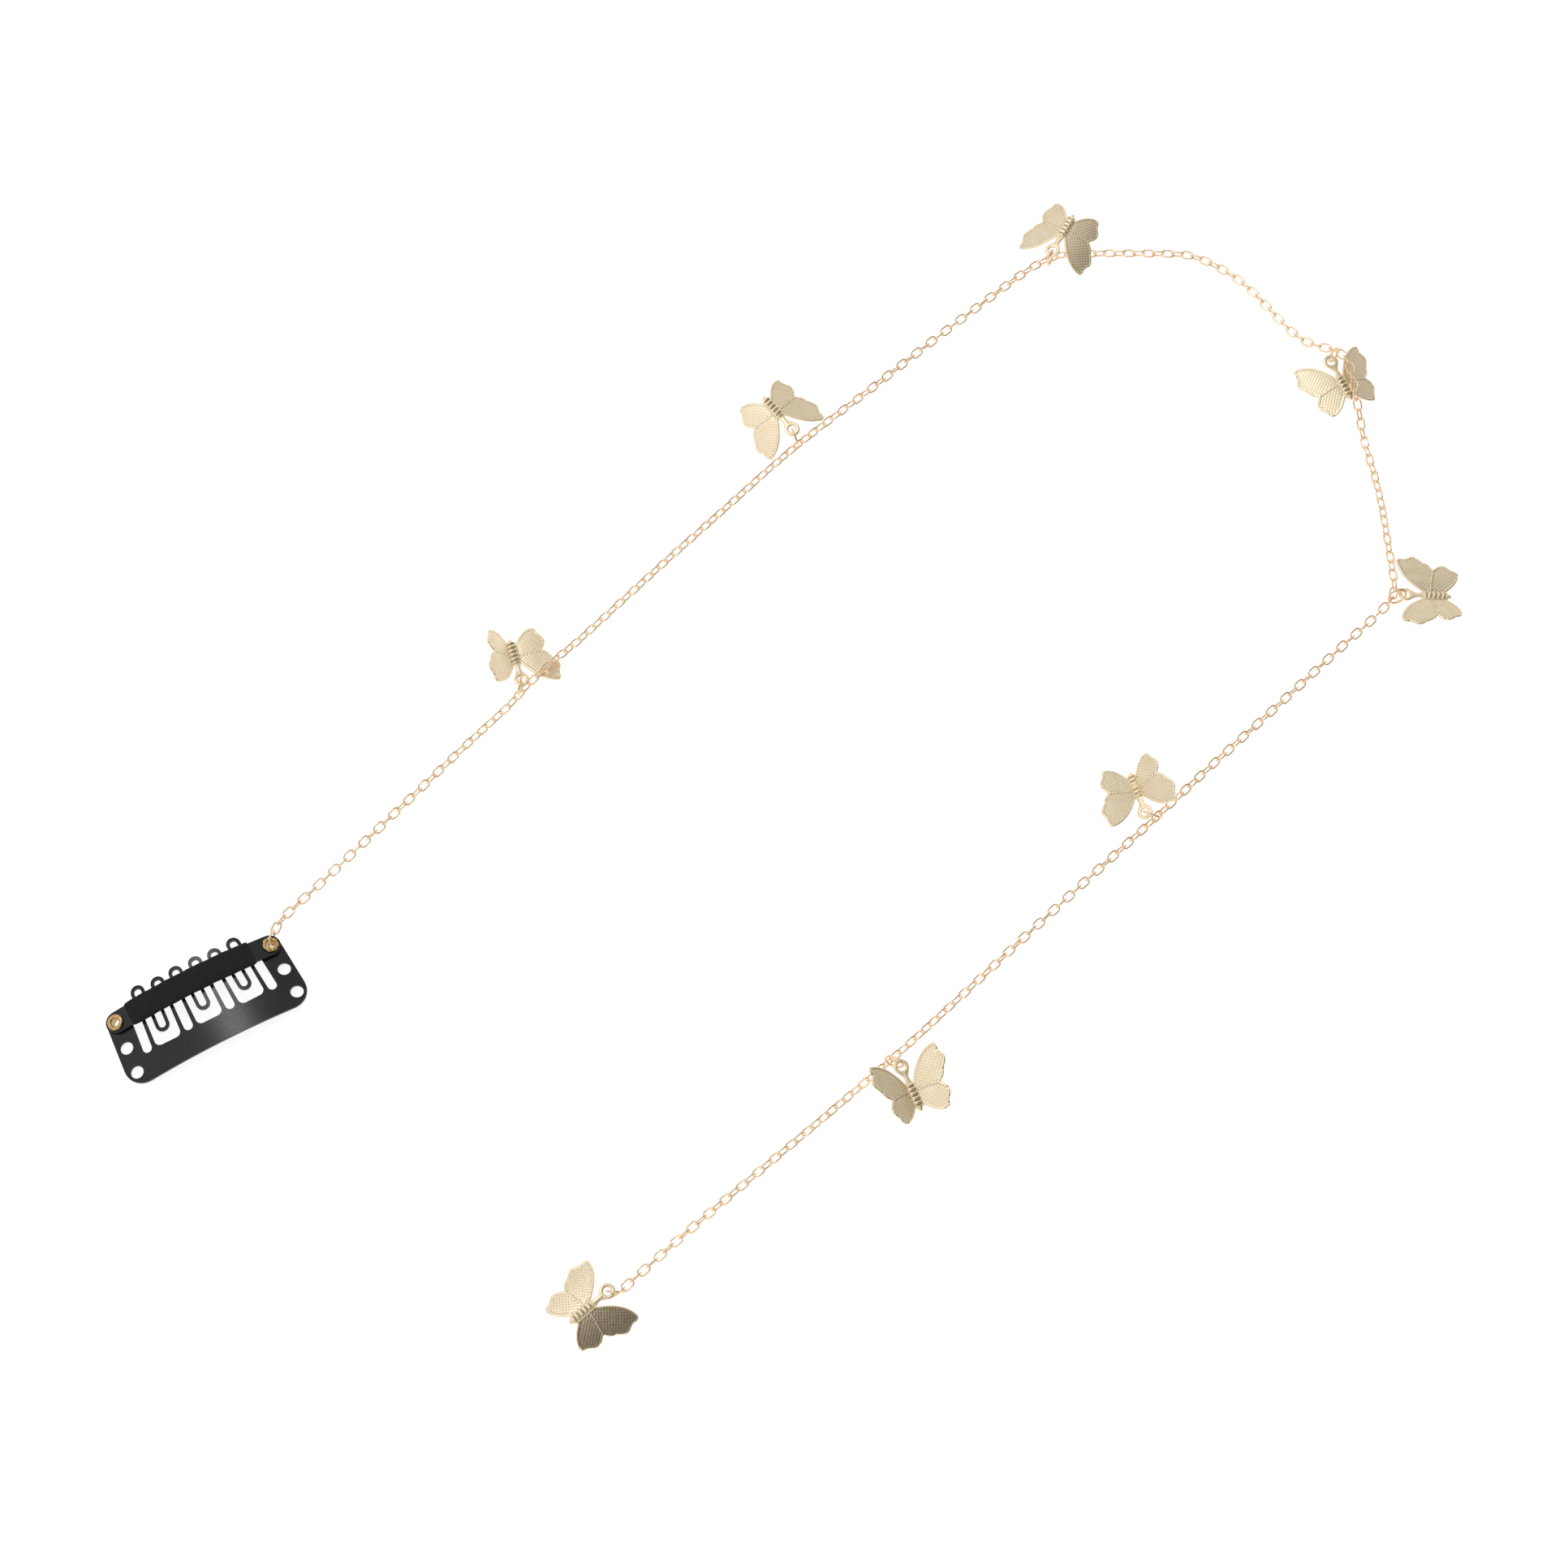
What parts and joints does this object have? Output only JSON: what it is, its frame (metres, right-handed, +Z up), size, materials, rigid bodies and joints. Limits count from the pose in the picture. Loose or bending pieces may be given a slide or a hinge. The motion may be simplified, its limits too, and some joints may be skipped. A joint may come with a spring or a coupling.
{
  "type": "hair chain",
  "caption": "Fine gold cable chain with stamped butterflies hanging on jump rings, held in the hair by a small black snap comb clip at one end.",
  "frame": {"origin": "centre of the laid-out chain's bounding box, on the table", "axes": "+X along the longer side of the laid-out loop, toward its closed end; +Z up from the table"},
  "size_m": [0.2384, 0.1143, 0.0067],
  "materials": {
    "black_steel": "satin black coated spring steel",
    "sleeve_rubber": "matte",
    "eyelet_brass": "polished",
    "chain_metal": "polished rose-tinted gold plating",
    "butterfly_metal": "polished pale gold plating"
  },
  "bodies": {
    "root": {"comb_plate": "black_steel", "back_bar": "black_steel", "bar_sleeve": "sleeve_rubber", "eyelet_left": "eyelet_brass", "eyelet_right": "eyelet_brass", "clip_ring": "chain_metal", "chain_first_run": "chain_metal", "chain_second_run": "chain_metal", "jump_ring_1": "chain_metal", "jump_ring_2": "chain_metal", "jump_ring_3": "chain_metal", "jump_ring_4": "chain_metal", "jump_ring_5": "chain_metal", "jump_ring_6": "chain_metal", "jump_ring_7": "chain_metal", "jump_ring_8": "chain_metal", "butterfly_1": "butterfly_metal", "butterfly_2": "butterfly_metal", "butterfly_3": "butterfly_metal", "butterfly_4": "butterfly_metal", "butterfly_5": "butterfly_metal", "butterfly_6": "butterfly_metal", "butterfly_7": "butterfly_metal", "butterfly_8": "butterfly_metal"}
  },
  "joints": []
}
